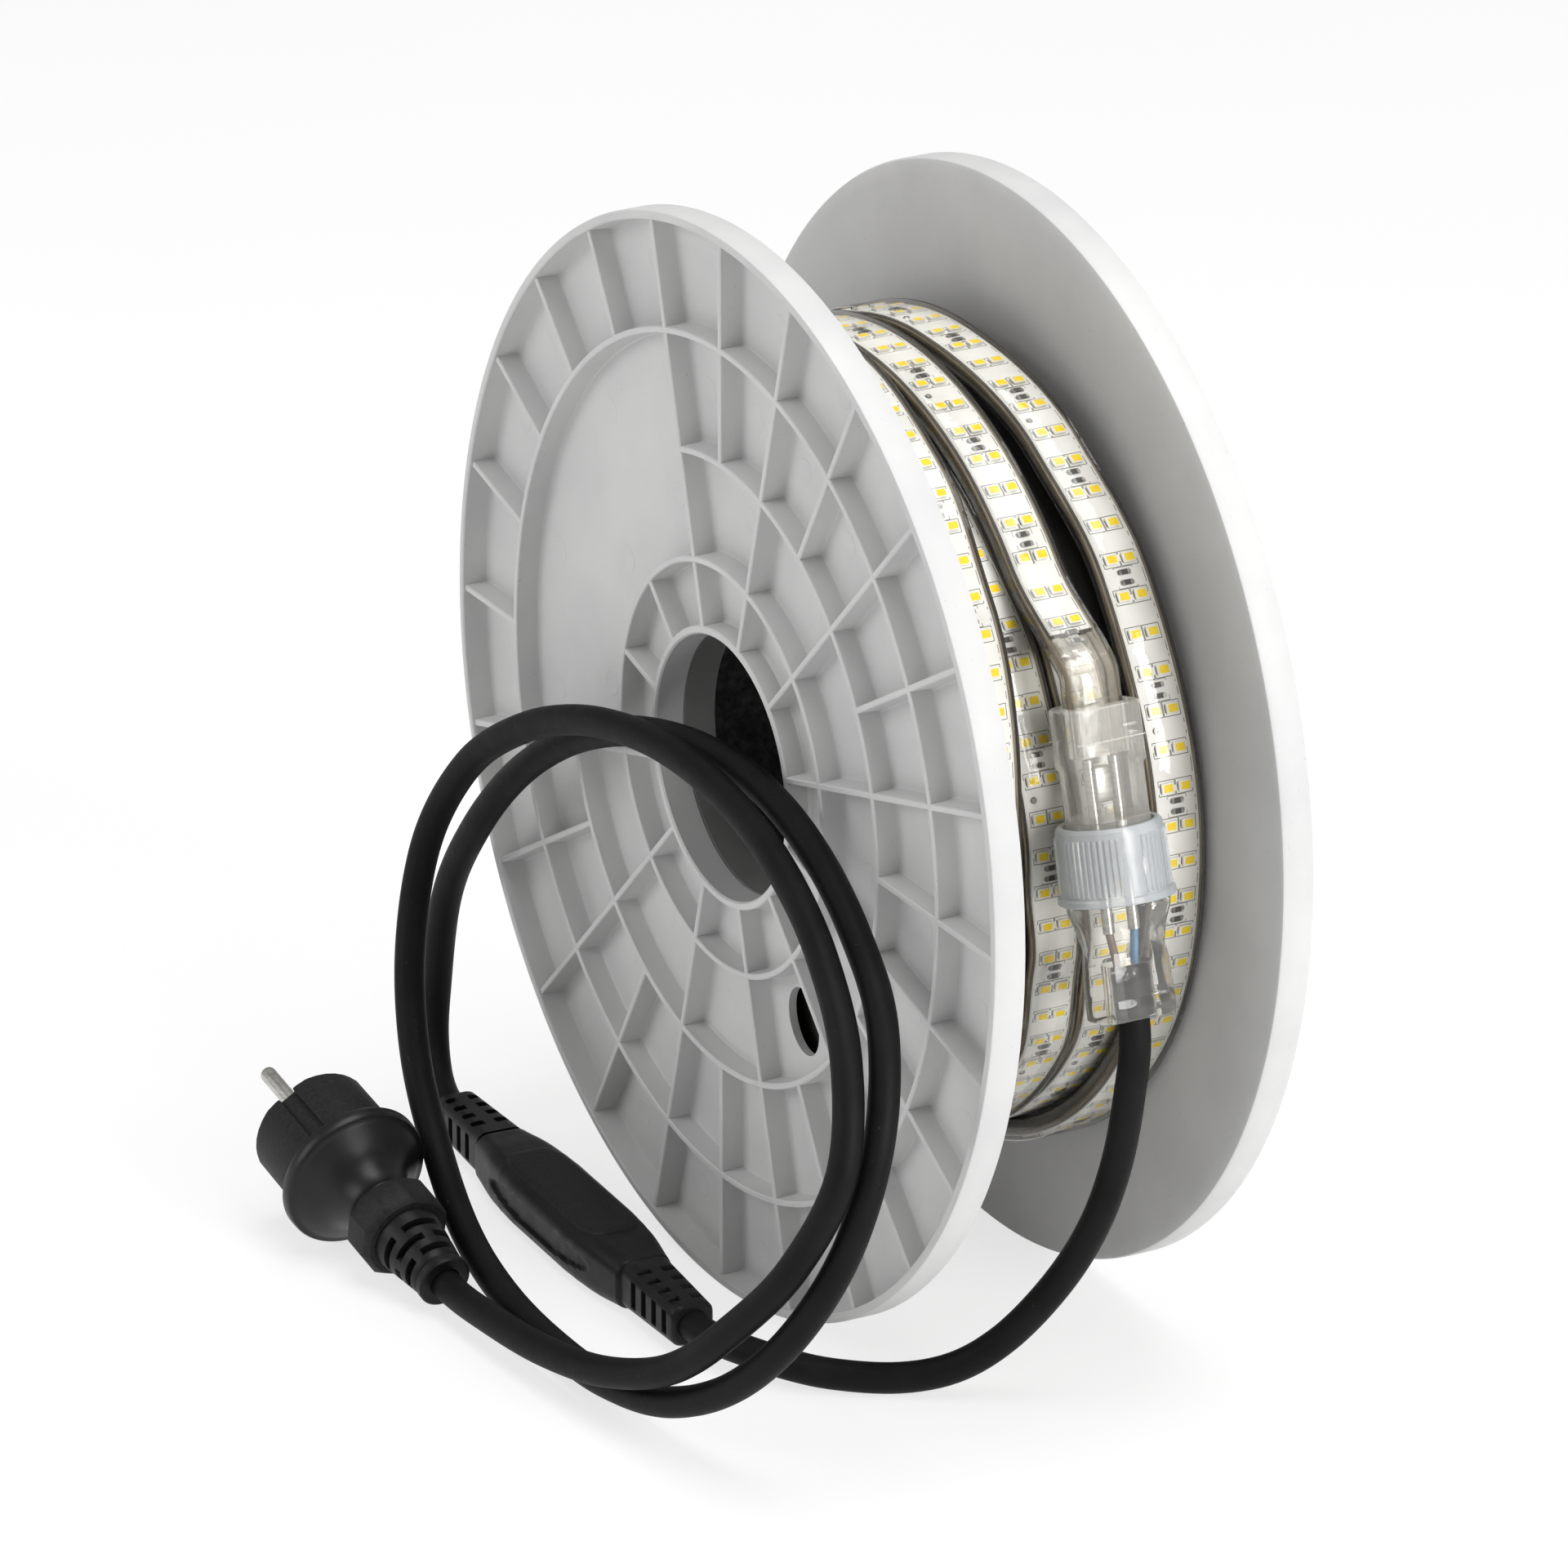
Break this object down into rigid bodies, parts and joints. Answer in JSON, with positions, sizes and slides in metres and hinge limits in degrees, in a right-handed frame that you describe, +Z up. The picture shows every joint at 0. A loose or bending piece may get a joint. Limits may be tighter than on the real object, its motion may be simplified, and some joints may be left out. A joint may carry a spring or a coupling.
{
  "type": "led strip light",
  "caption": "Reel of clear mains LED strip light with a screw connector, a rubber lead with an inline rectifier box, and an earthed mains plug.",
  "frame": {"origin": "on the floor under the middle of the standing reel, halfway between its flanges", "axes": "+Z up, X along the reel's axis, the ribbed front flange with the lead's loops faces -X, the strip's end and connector hang on the -Y side"},
  "size_m": [0.2027, 0.3196, 0.3197],
  "materials": {
    "flange_plastic": "light grey moulded plastic, matte with a fine grain",
    "barrel_plastic": "mid grey moulded plastic, matte",
    "foam": "black coarse foam",
    "clear_strip": "clear soft plastic over a white circuit board with yellow LED chips",
    "clear_plastic": "translucent moulded plastic, slightly frosted",
    "black_rubber": "black rubber, matte",
    "black_plastic": "black plastic with a spark-eroded grain",
    "plated_metal": "nickel-plated brass, satin"
  },
  "bodies": {
    "reel": {"front_flange": "flange_plastic", "rear_flange": "flange_plastic", "barrel": "barrel_plastic", "core_liner": "foam", "strip_winding": "clear_strip", "strip_lead_end": "clear_plastic", "strip_socket": "clear_plastic", "sealing_ring": "clear_plastic", "contact_pin_left": "plated_metal", "contact_pin_right": "plated_metal", "lead_connector": "clear_plastic", "lead_sleeve": "black_rubber", "connector_lead": "black_rubber", "rectifier_housing": "black_plastic", "rectifier_relief_mains": "black_rubber", "rectifier_relief_lead": "black_rubber", "mains_lead": "black_rubber", "plug_body": "black_rubber", "plug_pin_front": "plated_metal", "plug_pin_rear": "plated_metal", "plug_earth_upper": "plated_metal", "plug_earth_lower": "plated_metal", "plug_gland_nut": "black_plastic", "plug_strain_relief": "black_rubber"},
    "coupling_nut": {"coupling_nut": "clear_plastic"}
  },
  "joints": [
    {"name": "coupling_nut_turn", "type": "hinge", "parent": "reel", "child": "coupling_nut", "pos_m": [0.003, -0.1308, 0.16975], "axis": [0, 0.2656, 0.9641], "range_deg": [0, 360]}
  ]
}
